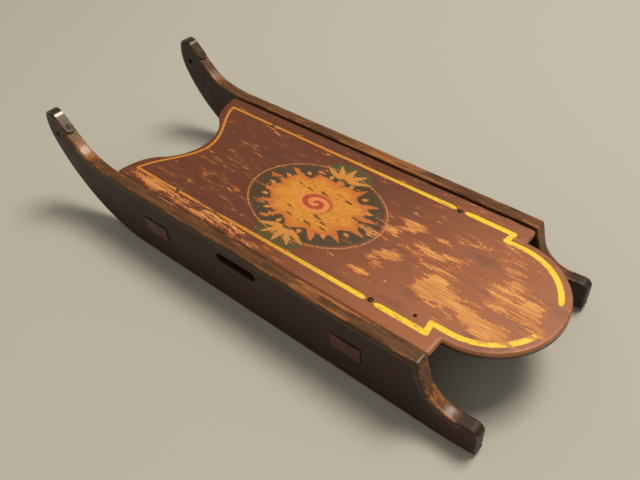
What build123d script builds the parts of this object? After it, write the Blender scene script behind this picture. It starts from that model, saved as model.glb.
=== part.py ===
from build123d import *
from math import cos, radians, sin
import os

os.makedirs("parts", exist_ok=True)

# A child's wooden runner sled: a thin deck board between two upright runner boards,
# carried on two crossbeams whose tenons pass through the runners and are wedged there.
# Units are millimetres. +X is the rider's left, the horns point towards -Y, +Z is up,
# and the origin is on the ground under the middle of the sled.

# Overall
sled_length = 829.0          # from the front of the horns to the end of the deck's tail
sled_width = 306.0           # over the outer faces of the runners
fit_gap = 0.05               # round nails and screws, between metal and its hole

# Iron shoe
shoe_thickness = 3.0
shoe_inset = 1.5             # from each face of the runner to the strap's edge
shoe_arris = 0.6             # on the strap's outer face
tongue_length = 32.0         # from the horn's tip to the strap's rounded end

# Runner board
runner_thickness = 19.0
runner_height = 114.5        # ground to the straight top edge
runner_arris = 2.2
horn_sweep_radius = 211.0    # radii of the iron's outer face
horn_breast_radius = 70.0
horn_tip_radius = 19.0
horn_sweep_angle = 66.0
horn_breast_angle = 39.0
horn_back_slope = 45.0       # of the back of the horn, down from level
horn_root_angle = 20.0       # slope where the two hollow arcs at the horn's root meet
horn_root_upper_radius = 62.0
horn_root_lower_radius = 180.0
heel_rise = 6.0
heel_rise_run = 62.0
heel_reach = 85.5            # from the rear end of the top edge to the end of the heel
heel_slope = 75.7            # of the cut behind the deck's shoulder, down from level
heel_hollow_radius = 45.0
heel_hollow_z = 49.3         # lowest point of the hollow
heel_nose_radius = 11.0
heel_nose_slope = 4.0

# Holes in the runner
rope_hole_radius = 4.0
rope_hole_setback = 24.0     # from the front of the horn
rope_hole_drop = 21.0        # below the middle of the horn's round tip
hand_hold_length = 76.0
hand_hold_height = 16.0
hand_hold_y = 7.0            # behind the middle of the sled
hand_hold_drop = 30.5        # from the runner's top edge to the slot's middle
hand_hold_arris = 1.5

# Deck board
deck_thickness = 10.5
deck_recess = 3.5            # deck top below the runners' top edge
deck_side_gap = 1.3          # between the deck and each runner
deck_top_round = 3.5
deck_bottom_round = 2.0
bow_setback = 138.0          # from the front of the horns to the deck's front corners
bow_land = 7.5               # straight stretch at each front corner
bow_depth = 60.0
shoulder_step = 28.7         # from the deck's side in to its round tail
stray_hole_radius = 2.6
stray_hole_inset = 40.7      # from the deck's left side
stray_hole_setback = 46.0    # forward of the deck's shoulders

# Crossbeams
front_beam_setback = 244.5   # from the front of the horns to the beam's middle
rear_beam_setback = 108.5    # from the deck's shoulders to the beam's middle
beam_width = 56.0
beam_shoulder = 3.0          # of the beam, all round its tenon
beam_arch_rise = 24.0
beam_arch_land = 26.0        # flat stretch at each end of the beam's underside
beam_arris = 1.5
tenon_height = 25.0
tenon_drop = 40.5            # from the deck's underside to the tenon's middle
tenon_gap = 0.2              # round the tenon in its mortise
tenon_proud = 1.8            # past the runner's outer face
tenon_arris = 1.0

# Wedges, two to a tenon
wedge_length = 16.0
wedge_head = 3.2
wedge_point = 0.8
wedge_spacing = 26.0

# Deck nails
nail_inset = 27.7            # from the deck's side
front_nail_offset = 11.0     # behind the middle of the beam
rear_nail_offset = 4.5
nail_radius = 1.8
nail_length = 34.0
nail_head_radius = 4.2
nail_head_height = 1.7
nail_point = 5.0             # length of the tapered point

# Shoe screws
screw_radius = 1.6
screw_length = 18.0
screw_head_radius = 3.8
screw_recess = 0.3           # of the head below the iron's face
screw_slot_width = 0.9
screw_slot_depth = 0.8
screw_point = 4.0            # length of the tapered point
sole_screw_count = 7
first_sole_screw = 22.0      # along the shoe from the heel
last_sole_screw = 160.0      # back along the shoe from the end of its tongue
tongue_screw_setback = 11.0  # from the strap's rounded end

# Places worked out from the sizes above
front_y = -sled_length / 2
rear_y = sled_length / 2
outer_x = sled_width / 2
inner_x = outer_x - runner_thickness
runner_mid_x = outer_x - runner_thickness / 2
shoe_width = runner_thickness - 2 * shoe_inset
tongue_straight = tongue_length - shoe_width / 2

deck_half_width = inner_x - deck_side_gap
deck_top_z = runner_height - deck_recess
deck_bottom_z = deck_top_z - deck_thickness
tail_radius = deck_half_width - shoulder_step
shoulder_y = rear_y - tail_radius
bow_y = front_y + bow_setback
heel_y = shoulder_y + heel_reach
sole_rear_y = heel_y - heel_rise_run

breast_offset = horn_sweep_radius - horn_breast_radius
tip_offset = horn_breast_radius - horn_tip_radius
sweep_turn = radians(horn_sweep_angle)
breast_turn = radians(horn_sweep_angle + horn_breast_angle)
horn_tip_angle = 180 + horn_back_slope - horn_sweep_angle - horn_breast_angle
horn_tip_z = horn_sweep_radius - breast_offset * cos(sweep_turn) - tip_offset * cos(breast_turn)
sole_front_y = front_y + breast_offset * sin(sweep_turn) + horn_breast_radius
hand_hold_z = runner_height - hand_hold_drop
rope_hole_z = horn_tip_z - rope_hole_drop

front_beam_y = front_y + front_beam_setback
rear_beam_y = shoulder_y - rear_beam_setback
tenon_width = beam_width - 2 * beam_shoulder
tenon_z = deck_bottom_z - tenon_drop
tenon_bottom_z = tenon_z - tenon_height / 2
beam_bottom_z = tenon_bottom_z - beam_shoulder
nail_x = deck_half_width - nail_inset


def draw_shod_edge(tongue_run):
    """Draw the runner's iron-shod edge, from the heel to a way down the back of the horn."""
    sole = Line((sole_rear_y, shoe_thickness), (sole_front_y, shoe_thickness))
    TangentArc(sole @ 0, (heel_y, shoe_thickness + heel_rise), tangent=(1, 0))
    sweep = JernArc(sole @ 1, sole % 1, horn_sweep_radius - shoe_thickness, -horn_sweep_angle)
    breast = JernArc(sweep @ 1, sweep % 1, horn_breast_radius - shoe_thickness, -horn_breast_angle)
    tip = JernArc(breast @ 1, breast % 1, horn_tip_radius - shoe_thickness, -horn_tip_angle)
    return Line(tip @ 1, (tip @ 1) + (tip % 1) * tongue_run)


def draw_horn_root(tongue):
    """Draw the back of the horn on from the tongue, and the hollow down to the top edge."""
    slope, root = radians(horn_back_slope), radians(horn_root_angle)
    hollow_drop = horn_root_upper_radius * (cos(root) - cos(slope))
    hollow_drop += horn_root_lower_radius * (1 - cos(root))
    straight = ((tongue @ 1).Y - runner_height - hollow_drop) / sin(slope)
    back = Line(tongue @ 1, (tongue @ 1) + (tongue % 1) * straight)
    upper = JernArc(
        back @ 1, back % 1, horn_root_upper_radius, horn_back_slope - horn_root_angle
    )
    return JernArc(upper @ 1, upper % 1, horn_root_lower_radius, horn_root_angle)


def draw_heel(top_corner):
    """Draw the cut behind the deck's shoulder, the hollow and the nose of the heel."""
    slope, nose = radians(heel_slope), radians(heel_nose_slope)
    cut_drop = top_corner.Y - heel_hollow_z - heel_hollow_radius * (1 - cos(slope))
    cut_direction = Vector(cos(slope), -sin(slope))
    cut = Line(top_corner, top_corner + cut_direction * (cut_drop / sin(slope)))
    hollow = JernArc(cut @ 1, cut % 1, heel_hollow_radius, heel_slope + heel_nose_slope)
    nose_start_y = heel_y - heel_nose_radius * (1 + sin(nose))
    land_length = (nose_start_y - (hollow @ 1).X) / cos(nose)
    land = Line(hollow @ 1, (hollow @ 1) + (hollow % 1) * land_length)
    round_nose = JernArc(land @ 1, land % 1, heel_nose_radius, -90 - heel_nose_slope)
    Line(round_nose @ 1, (heel_y, shoe_thickness + heel_rise))


# The shod edge by itself, as Y and Z, to place the screws along it
with BuildLine() as strap:
    draw_shod_edge(tongue_length)
strap_line = strap.wires()[0]


def shoe_plane(distance):
    """Give the plane on the iron's outer face at a distance along it from the heel."""
    point = strap_line.position_at(distance, position_mode=PositionMode.LENGTH)
    along = strap_line.tangent_at(distance, position_mode=PositionMode.LENGTH)
    out = Vector(-along.Y, along.X)
    face = point + out * shoe_thickness
    return Plane(
        origin=(runner_mid_x, face.X, face.Y), x_dir=(1, 0, 0), z_dir=(0, out.X, out.Y)
    )


def on_outer_face(edge):
    """Say whether an edge of the strap lies on its outer face."""
    middle = edge @ 0.5
    return strap_line.distance_to(Vector(middle.Y, middle.Z)) > shoe_thickness / 2


screw_run = strap_line.length - last_sole_screw - first_sole_screw
screw_pitch = screw_run / (sole_screw_count - 1)
sole_screw_places = [
    shoe_plane(first_sole_screw + i * screw_pitch).location for i in range(sole_screw_count)
]
tongue_screw_place = shoe_plane(strap_line.length - tongue_screw_setback).location


# Deck board: ogee bow, square rear shoulders, half-round tail
with BuildPart() as deck_board:
    with BuildSketch(Plane.XY.offset(deck_bottom_z)):
        with BuildLine():
            edge = Line((deck_half_width, shoulder_y), (deck_half_width, bow_y))
            ogee_half_span = deck_half_width - bow_land
            land = Line(edge @ 1, (ogee_half_span, bow_y))
            crest = TangentArc(
                land @ 1, (ogee_half_span / 2, bow_y + bow_depth / 2), tangent=(-1, 0)
            )
            TangentArc(crest @ 1, (0, bow_y + bow_depth), tangent=crest % 1)
            Line(edge @ 0, (tail_radius, shoulder_y))
            CenterArc((0, shoulder_y), tail_radius, 0, 90)
            mirror(about=Plane.YZ)
        make_face()
    extrude(amount=deck_thickness)
    fillet(faces().sort_by(Axis.Z)[-1].edges(), deck_top_round)
    fillet(faces().sort_by(Axis.Z)[0].edges(), deck_bottom_round)
    with Locations(
        (deck_half_width - stray_hole_inset, shoulder_y - stray_hole_setback, deck_top_z)
    ):
        Hole(stray_hole_radius)
    with Locations(
        *[
            (side * nail_x, y, deck_top_z)
            for side in (-1, 1)
            for y in (front_beam_y + front_nail_offset, rear_beam_y + rear_nail_offset)
        ]
    ):
        Hole(nail_radius + fit_gap)


# Left runner board
with BuildPart() as left_runner:
    with BuildSketch(Plane.YZ.offset(inner_x)):
        with BuildLine():
            tongue_line = draw_shod_edge(tongue_length)
            root_line = draw_horn_root(tongue_line)
            top_line = Line(root_line @ 1, (shoulder_y, runner_height))
            draw_heel(top_line @ 1)
        make_face()
    extrude(amount=runner_thickness)
    board_faces = faces().sort_by(Axis.X)
    fillet(board_faces[0].edges() + board_faces[-1].edges(), runner_arris)
    with BuildSketch(Plane.YZ.offset(inner_x)):
        with Locations((hand_hold_y, hand_hold_z)):
            SlotOverall(hand_hold_length, hand_hold_height)
    extrude(amount=runner_thickness, mode=Mode.SUBTRACT)
    fillet(edges(Select.LAST).filter_by(Plane.YZ), hand_hold_arris)
    with BuildSketch(Plane.YZ.offset(inner_x)):
        with Locations((front_y + rope_hole_setback, rope_hole_z)):
            Circle(rope_hole_radius)
        with Locations((front_beam_y, tenon_z), (rear_beam_y, tenon_z)):
            Rectangle(tenon_width + 2 * tenon_gap, tenon_height + 2 * tenon_gap)
    extrude(amount=runner_thickness, mode=Mode.SUBTRACT)
    with Locations(*sole_screw_places, tongue_screw_place):
        Hole(screw_radius + fit_gap, depth=screw_length + fit_gap)


# Left runner shoe: an iron strap bent round the shod edge, with a rounded tongue
with BuildPart() as left_runner_shoe:
    with BuildSketch(Plane.YZ.offset(runner_mid_x)):
        with BuildLine():
            draw_shod_edge(tongue_straight)
            offset(amount=shoe_thickness, side=Side.LEFT)
        make_face()
    extrude(amount=shoe_width / 2, both=True)
    tongue_end = shoe_plane(strap_line.length - shoe_width / 2)
    with BuildSketch(tongue_end):
        Circle(shoe_width / 2)
    extrude(amount=-shoe_thickness)
    fillet(edges().filter_by(on_outer_face).filter_by(Plane.YZ), shoe_arris)
    with Locations(*sole_screw_places, tongue_screw_place):
        CounterSinkHole(
            screw_radius + fit_gap,
            screw_head_radius + screw_recess + fit_gap,
            counter_sink_angle=90,
        )


# Right runner board and its shoe
with BuildPart() as right_runner:
    mirror(left_runner.part, about=Plane.YZ)
with BuildPart() as right_runner_shoe:
    mirror(left_runner_shoe.part, about=Plane.YZ)


def draw_wedges(beam_y):
    """Draw the two wedges of the left tenon as seen from above."""
    with Locations(
        *[(outer_x + tenon_proud, beam_y + side * wedge_spacing / 2) for side in (-1, 1)]
    ):
        Polygon(
            (0, -wedge_head / 2),
            (0, wedge_head / 2),
            (-wedge_length, wedge_point / 2),
            (-wedge_length, -wedge_point / 2),
            align=None,
        )


def make_crossbeam(beam_y, nail_y):
    """Make a crossbeam: arched body, shouldered tenons with wedge slots, nail holes."""
    with BuildPart() as beam:
        with BuildSketch(Plane.XZ.offset(-beam_y)):
            with BuildLine():
                Polyline(
                    (-inner_x + beam_arch_land, beam_bottom_z),
                    (-inner_x, beam_bottom_z),
                    (-inner_x, deck_bottom_z),
                    (inner_x, deck_bottom_z),
                    (inner_x, beam_bottom_z),
                    (inner_x - beam_arch_land, beam_bottom_z),
                )
                ThreePointArc(
                    (inner_x - beam_arch_land, beam_bottom_z),
                    (0, beam_bottom_z + beam_arch_rise),
                    (-inner_x + beam_arch_land, beam_bottom_z),
                )
            make_face()
        extrude(amount=beam_width / 2, both=True)
        underside = edges().filter_by(Plane.XZ).filter_by(
            lambda edge: (edge @ 0.5).Z < tenon_z
        )
        fillet(underside.filter_by(lambda edge: abs((edge @ 0.5).X) < inner_x), beam_arris)
        with BuildSketch(Plane.YZ.offset(inner_x)):
            with Locations((beam_y, tenon_z)):
                Rectangle(tenon_width, tenon_height)
        extrude(amount=runner_thickness + tenon_proud)
        chamfer(faces().sort_by(Axis.X)[-1].edges(), tenon_arris)
        with BuildSketch(Plane.XY.offset(tenon_bottom_z)):
            draw_wedges(beam_y)
        extrude(amount=tenon_height, mode=Mode.SUBTRACT)
        split(bisect_by=Plane.YZ, keep=Keep.TOP)
        mirror(about=Plane.YZ)
        with Locations((-nail_x, nail_y, deck_top_z), (nail_x, nail_y, deck_top_z)):
            Hole(nail_radius + fit_gap, depth=nail_length + fit_gap)
    return beam.part


front_crossbeam = make_crossbeam(front_beam_y, front_beam_y + front_nail_offset)
rear_crossbeam = make_crossbeam(rear_beam_y, rear_beam_y + rear_nail_offset)


def make_wedges(beam_y):
    """Make the pair of wedges in a crossbeam's left tenon."""
    with BuildPart() as wedges:
        with BuildSketch(Plane.XY.offset(tenon_bottom_z)):
            draw_wedges(beam_y)
        extrude(amount=tenon_height)
    return wedges.part


front_left_tenon_wedges = make_wedges(front_beam_y)
rear_left_tenon_wedges = make_wedges(rear_beam_y)
with BuildPart() as front_right_tenon_wedges:
    mirror(front_left_tenon_wedges, about=Plane.YZ)
with BuildPart() as rear_right_tenon_wedges:
    mirror(rear_left_tenon_wedges, about=Plane.YZ)


# Deck nails: one forged nail, then a pair over each crossbeam
with BuildPart() as deck_nail:
    with BuildSketch(Plane.XZ):
        with BuildLine():
            Polyline(
                (0, nail_head_height),
                (0, -nail_length),
                (nail_radius, nail_point - nail_length),
                (nail_radius, 0),
                (nail_head_radius, 0),
            )
            TangentArc(
                (0, nail_head_height), (nail_head_radius, 0), tangent=(1, 0)
            )
        make_face()
    revolve(axis=Axis.Z)
with BuildPart() as front_deck_nails:
    nail_y = front_beam_y + front_nail_offset
    with Locations((-nail_x, nail_y, deck_top_z), (nail_x, nail_y, deck_top_z)):
        add(deck_nail.part)
with BuildPart() as rear_deck_nails:
    nail_y = rear_beam_y + rear_nail_offset
    with Locations((-nail_x, nail_y, deck_top_z), (nail_x, nail_y, deck_top_z)):
        add(deck_nail.part)


# Shoe screws: one countersunk screw, then the places along each strap
with BuildPart() as shoe_screw:
    with BuildSketch(Plane.XZ):
        with BuildLine():
            Polyline(
                (0, -screw_recess),
                (screw_head_radius, -screw_recess),
                (screw_radius, screw_radius - screw_head_radius - screw_recess),
                (screw_radius, screw_point - screw_length),
                (0, -screw_length),
                close=True,
            )
        make_face()
    revolve(axis=Axis.Z)
    with Locations((0, 0, -screw_recess)):
        Box(
            screw_slot_width,
            2 * screw_head_radius,
            2 * screw_slot_depth,
            mode=Mode.SUBTRACT,
        )
with BuildPart() as left_sole_screws:
    with Locations(*sole_screw_places):
        add(shoe_screw.part)
with BuildPart() as left_tongue_screw:
    with Locations(tongue_screw_place):
        add(shoe_screw.part)
with BuildPart() as right_sole_screws:
    mirror(left_sole_screws.part, about=Plane.YZ)
with BuildPart() as right_tongue_screw:
    mirror(left_tongue_screw.part, about=Plane.YZ)


pieces = {
    "deck_board": deck_board.part,
    "left_runner": left_runner.part,
    "right_runner": right_runner.part,
    "front_crossbeam": front_crossbeam,
    "rear_crossbeam": rear_crossbeam,
    "left_runner_shoe": left_runner_shoe.part,
    "right_runner_shoe": right_runner_shoe.part,
    "left_tongue_screw": left_tongue_screw.part,
    "right_tongue_screw": right_tongue_screw.part,
    "left_sole_screws": left_sole_screws.part,
    "right_sole_screws": right_sole_screws.part,
    "front_deck_nails": front_deck_nails.part,
    "rear_deck_nails": rear_deck_nails.part,
    "front_left_tenon_wedges": front_left_tenon_wedges,
    "front_right_tenon_wedges": front_right_tenon_wedges.part,
    "rear_left_tenon_wedges": rear_left_tenon_wedges,
    "rear_right_tenon_wedges": rear_right_tenon_wedges.part,
}
for name, piece in pieces.items():
    piece.label = name
    export_step(piece, f"parts/{name}.step")
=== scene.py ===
"""Looks of a child's painted wooden runner sled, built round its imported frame.

Everything is in metres. +X is the rider's left, the horns point towards -Y and +Z is up.
The boards are new meshes that stand for their plain CAD solids; the crossbeams, wedges,
straps, screws and nails keep their CAD shape and get a finish of their own.
"""
import logging
from collections.abc import Sequence
from dataclasses import dataclass, field
from enum import Enum

import bpy
import numpy as np
from mathutils import Matrix, Vector
from mathutils.geometry import delaunay_2d_cdt


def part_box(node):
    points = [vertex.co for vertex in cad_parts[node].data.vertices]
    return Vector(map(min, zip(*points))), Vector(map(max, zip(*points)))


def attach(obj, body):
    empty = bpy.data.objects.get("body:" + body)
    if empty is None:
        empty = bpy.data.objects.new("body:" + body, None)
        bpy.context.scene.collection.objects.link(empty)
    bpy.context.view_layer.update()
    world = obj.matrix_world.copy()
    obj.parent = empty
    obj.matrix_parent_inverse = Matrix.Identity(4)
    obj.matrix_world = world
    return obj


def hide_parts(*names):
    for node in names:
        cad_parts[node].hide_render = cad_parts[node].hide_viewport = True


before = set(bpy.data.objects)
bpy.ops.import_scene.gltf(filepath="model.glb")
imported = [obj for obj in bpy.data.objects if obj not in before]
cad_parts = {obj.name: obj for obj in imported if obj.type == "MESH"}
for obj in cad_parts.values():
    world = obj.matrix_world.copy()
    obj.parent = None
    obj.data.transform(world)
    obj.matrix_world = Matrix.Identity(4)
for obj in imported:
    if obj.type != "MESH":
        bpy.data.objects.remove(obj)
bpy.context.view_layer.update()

log = logging.getLogger("sled")

Colour = tuple[float, float, float, float]
Pair = tuple[float, float]
MM = 0.001
BLOCK = 1_000_000
TINY = 1e-12


def tone(red: int, green: int, blue: int) -> Colour:
    """Turn a display colour of 0 to 255 into the linear colour that shaders use.

    Args:
        red: Red, 0 to 255.
        green: Green, 0 to 255.
        blue: Blue, 0 to 255.

    Returns:
        Linear red, green and blue, and an alpha of 1.
    """
    share = np.array([red, green, blue]) / 255
    linear = np.where(share > 0.04045, ((share + 0.055) / 1.055) ** 2.4, share / 12.92)
    return (*linear.tolist(), 1.0)


class Side(Enum):
    """Which runner a piece belongs to; the value is the sign of its X."""

    LEFT = 1
    RIGHT = -1

    def node(self, kind: str) -> str:
        """Name the CAD node of this side, such as left_runner."""
        return f"{self.name.lower()}_{kind}"


# ------------------------------------------------------------------ shapes


@dataclass(frozen=True)
class ValueNoise:
    """Smooth noise from 0 to 1: random lattice values, joined by a smoothstep along each axis."""

    seed: int
    size: int = 32
    layer_shift: float = 7.3

    def at(self, points: np.ndarray, pitch: Sequence[float]) -> np.ndarray:
        """Read the noise at some points.

        Args:
            points: Places, one row each, of two or three coordinates.
            pitch: Lattice spacing along each axis.

        Returns:
            One value per point: the eight lattice values round it, weighted by 3t^2 - 2t^3.
        """
        table = np.random.default_rng(self.seed).random((self.size,) * points.shape[1])
        scaled = points / np.asarray(pitch)
        cell = np.floor(scaled).astype(int)
        part = scaled - cell
        part = part * part * (3 - 2 * part)
        total = np.zeros(len(points))
        for corner in np.ndindex(*(2,) * points.shape[1]):
            offset = np.array(corner)
            weight = np.prod(np.where(offset == 1, part, 1 - part), axis=1)
            total += weight * table[tuple(((cell + offset) % self.size).T)]
        return total

    def layered(self, points: np.ndarray, pitch: Sequence[float], layers: int) -> np.ndarray:
        """Add up layers of the noise, each half as large and half as strong as the last.

        Args:
            points: Places, one row each.
            pitch: Lattice spacing of the first layer along each axis.
            layers: How many layers.

        Returns:
            One value per point, from 0 to 1. Each layer is read at its own shift.
        """
        shares = 0.5 ** np.arange(layers)
        pitch = np.asarray(pitch, float)
        parts = [
            share * self.at(points + self.layer_shift * share, pitch * share) for share in shares
        ]
        return np.sum(parts, axis=0) / shares.sum()


class Pen:
    """Draws an outline as straight runs and arcs, each one starting along the last one's heading."""

    def __init__(self, start: Pair, heading: float, pitch: float) -> None:
        """Start a line.

        Args:
            start: First point.
            heading: First direction in degrees, anticlockwise from the first axis.
            pitch: Largest distance between points.
        """
        self.at = np.array(start, float)
        self.heading = np.radians(heading)
        self.pitch = pitch
        self.runs: list[np.ndarray] = []

    def turn(self, degrees: float) -> "Pen":
        """Turn on the spot, anticlockwise."""
        self.heading += np.radians(degrees)
        return self

    def line(self, length: float) -> "Pen":
        """Draw a straight run.

        Args:
            length: Its length.

        Returns:
            The pen, so that runs can be chained.
        """
        share = np.linspace(0, 1, max(2, int(np.ceil(length / self.pitch)) + 1))
        way = np.array([np.cos(self.heading), np.sin(self.heading)])
        return self._add(self.at + share[:, None] * length * way)

    def arc(self, radius: float, degrees: float) -> "Pen":
        """Draw an arc.

        Args:
            radius: Its radius.
            degrees: How far it turns, anticlockwise if positive.

        Returns:
            The pen, so that runs can be chained.
        """
        turn = np.radians(degrees)
        count = max(3, int(np.ceil(abs(turn) * radius / self.pitch)) + 1)
        heading = self.heading + np.linspace(0, 1, count) * turn
        left = np.sign(turn) * radius
        centre = self.at + left * np.array([-np.sin(self.heading), np.cos(self.heading)])
        points = centre - left * np.stack([-np.sin(heading), np.cos(heading)], axis=1)
        self.heading += turn
        return self._add(points)

    def _add(self, points: np.ndarray) -> "Pen":
        """Keep a run's points except the last, which starts the next run.

        Args:
            points: The run's points.

        Returns:
            The pen.
        """
        self.runs.append(points[:-1])
        self.at = points[-1]
        return self

    def loop(self, softened: int = 2) -> np.ndarray:
        """Give the closed outline, anticlockwise.

        Args:
            softened: How many times each point is averaged with its neighbours, as
                (before + 2 x itself + after) / 4, which eases the sharp corners.

        Returns:
            The outline's points, without the first one repeated.
        """
        points = np.vstack(self.runs)
        for _ in range(softened):
            points = (np.roll(points, 1, 0) + 2 * points + np.roll(points, -1, 0)) / 4
        return points if signed_area(points) > 0 else points[::-1]


def signed_area(loop: np.ndarray) -> float:
    """Work out a loop's area, positive if it runs anticlockwise."""
    after = np.roll(loop, -1, 0)
    return float(np.sum(loop[:, 0] * after[:, 1] - after[:, 0] * loop[:, 1]) / 2)


def distance_to(points: np.ndarray, path: np.ndarray) -> np.ndarray:
    """Measure how far points are from a line of straight pieces.

    Args:
        points: Places in the plane.
        path: The line's points; a closed loop repeats its first point.

    Returns:
        For each point, the least distance to a piece: the point is dropped square onto the
        piece, held between its ends, and the gap is measured.
    """
    (u0, v0), (du, dv) = path[:-1].T, np.diff(path, axis=0).T
    length = np.maximum(du**2 + dv**2, TINY)
    found = []
    for block in np.array_split(points, max(1, len(points) * len(du) // BLOCK)):
        u, v = block[:, :1] - u0, block[:, 1:] - v0
        share = np.clip((u * du + v * dv) / length, 0, 1)
        found.append(np.sqrt(((u - share * du) ** 2 + (v - share * dv) ** 2).min(1)))
    return np.concatenate(found)


def inside(points: np.ndarray, loop: np.ndarray) -> np.ndarray:
    """Say which points lie inside a loop.

    Args:
        points: Places in the plane.
        loop: The loop's points.

    Returns:
        True where a line to the right of the point crosses an odd number of edges.
    """
    after = np.roll(loop, -1, 0)
    rise = np.where(after[:, 1] == loop[:, 1], TINY, after[:, 1] - loop[:, 1])
    found = []
    for block in np.array_split(points, max(1, len(points) * len(loop) // BLOCK)):
        x, y = block[:, :1], block[:, 1:]
        spans = (loop[:, 1] > y) != (after[:, 1] > y)
        crossing = loop[:, 0] + (y - loop[:, 1]) / rise * (after[:, 0] - loop[:, 0])
        found.append((spans & (x < crossing)).sum(1) % 2 == 1)
    return np.concatenate(found)


@dataclass
class Board:
    """A flat board sawn to an outline, with its arrises rubbed round by hand and by use.

    The outline and holes lie in a plane of u and v, and w is the board's thickness axis.
    """

    outline: np.ndarray
    holes: list[np.ndarray]
    low: float
    high: float
    low_arris: float
    high_arris: float
    hole_arris: float
    low_pitch: float
    high_pitch: float
    wear: ValueNoise
    wear_pitch: float = 17 * MM
    least_arris: float = 0.55
    arris_range: float = 0.9
    arc_steps: int = 4
    side_steps: int = 3
    rim_clearance: float = 0.6
    points: np.ndarray = field(init=False)
    faces: list[np.ndarray] = field(init=False)

    def __post_init__(self) -> None:
        """Work out the mesh: u, v and w of each point, and the faces."""
        rings, quads, count = [], [], 0
        edges_high, edges_low = [], []
        for loop, eased in [(self.outline, False)] + [(hole, True) for hole in self.holes]:
            ring = self._edge(loop, eased)
            levels, around = ring.shape[:2]
            index = count + np.arange(levels * around).reshape(levels, around)
            after = np.roll(index, -1, 1)
            quads.append(
                np.stack([index[:-1], index[1:], after[1:], after[:-1]], -1).reshape(-1, 4)
            )
            edges_high.append(index[0])
            edges_low.append(index[-1])
            rings.append(ring.reshape(-1, 3))
            count += levels * around
        self.points = np.vstack(rings)
        top = self._fill(edges_high, self.high, self.high_pitch)
        bottom = self._fill(edges_low, self.low, self.low_pitch)
        self.faces = [*quads, top, bottom[:, ::-1]]

    def _edge(self, loop: np.ndarray, is_hole: bool) -> np.ndarray:
        """Carry the rounded edge profile along a loop.

        Args:
            loop: The outline, anticlockwise, or a hole's.
            is_hole: Whether it is a hole.

        Returns:
            Points by level and place. At angle a from the face, an arris of radius r is
            r (1 - sin a) in from the edge and r (1 - cos a) down from the face, and r varies
            with the wear along the edge.
        """
        loop = loop[::-1] if is_hole else loop
        along = np.roll(loop, -1, 0) - np.roll(loop, 1, 0)
        along /= np.linalg.norm(along, axis=1, keepdims=True)
        inward = np.stack([-along[:, 1], along[:, 0]], 1)
        angle = np.linspace(0, np.pi / 2, self.arc_steps + 1)
        wear = [
            self.least_arris + self.arris_range * self.wear.layered(
                np.c_[loop, np.full(len(loop), level)], (self.wear_pitch,) * 3, 3
            )
            for level in (self.high, self.low)
        ]
        radii = [
            (self.hole_arris if is_hole else arris) * worn
            for arris, worn in zip((self.high_arris, self.low_arris), wear)
        ]
        inset_high = np.outer(1 - np.sin(angle), radii[0])
        level_high = self.high - np.outer(1 - np.cos(angle), radii[0])
        inset_low = np.outer(1 - np.sin(angle), radii[1])[::-1]
        level_low = self.low + np.outer(1 - np.cos(angle), radii[1])[::-1]
        share = np.linspace(0, 1, self.side_steps + 2)[1:-1, None]
        level_side = level_high[-1] + share * (level_low[0] - level_high[-1])
        inset = np.vstack([inset_high, np.zeros_like(level_side), inset_low])
        level = np.vstack([level_high, level_side, level_low])
        return np.dstack([loop + inset[..., None] * inward, level])

    def _fill(self, edges: list[np.ndarray], level: float, pitch: float) -> np.ndarray:
        """Fill a flat face with near-even triangles.

        Args:
            edges: Indexes of the points round the face and round each hole in it.
            level: The face's place on the thickness axis.
            pitch: Spacing of the points inside, in rows half a step apart.

        Returns:
            Triangles, anticlockwise in u and v. The points inside join self.points.
        """
        rims = [self.points[edge, :2] for edge in edges]
        low, high = rims[0].min(0), rims[0].max(0)
        u, v = np.meshgrid(np.arange(low[0], high[0], pitch), np.arange(low[1], high[1], pitch))
        u = u + (np.arange(len(u)) % 2 * pitch / 2)[:, None]
        grid = np.c_[u.ravel(), v.ravel()]
        for rim in rims:
            grid = grid[distance_to(grid, np.vstack([rim, rim[:1]])) > self.rim_clearance * pitch]
        solid = inside(grid, rims[0])
        for rim in rims[1:]:
            solid &= ~inside(grid, rim)
        grid = grid[solid]
        first = len(self.points)
        known = np.concatenate([*edges, first + np.arange(len(grid))])
        self.points = np.vstack([self.points, np.c_[grid, np.full(len(grid), level)]])
        counts = np.cumsum([0] + [len(edge) for edge in edges])
        order = [np.arange(start, end) for start, end in zip(counts, counts[1:])]
        rim_edges = np.vstack([np.c_[index, np.roll(index, -1)] for index in order])
        flat = list(map(Vector, self.points[known, :2].tolist()))
        found = delaunay_2d_cdt(flat, rim_edges.tolist(), [], 0, 1e-9)
        triangles = known[np.array(found[3]).ravel()[np.array(found[2])]]
        middle = self.points[triangles, :2].mean(1)
        keep = inside(middle, rims[0])
        for rim in rims[1:]:
            keep &= ~inside(middle, rim)
        return triangles[keep]


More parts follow.
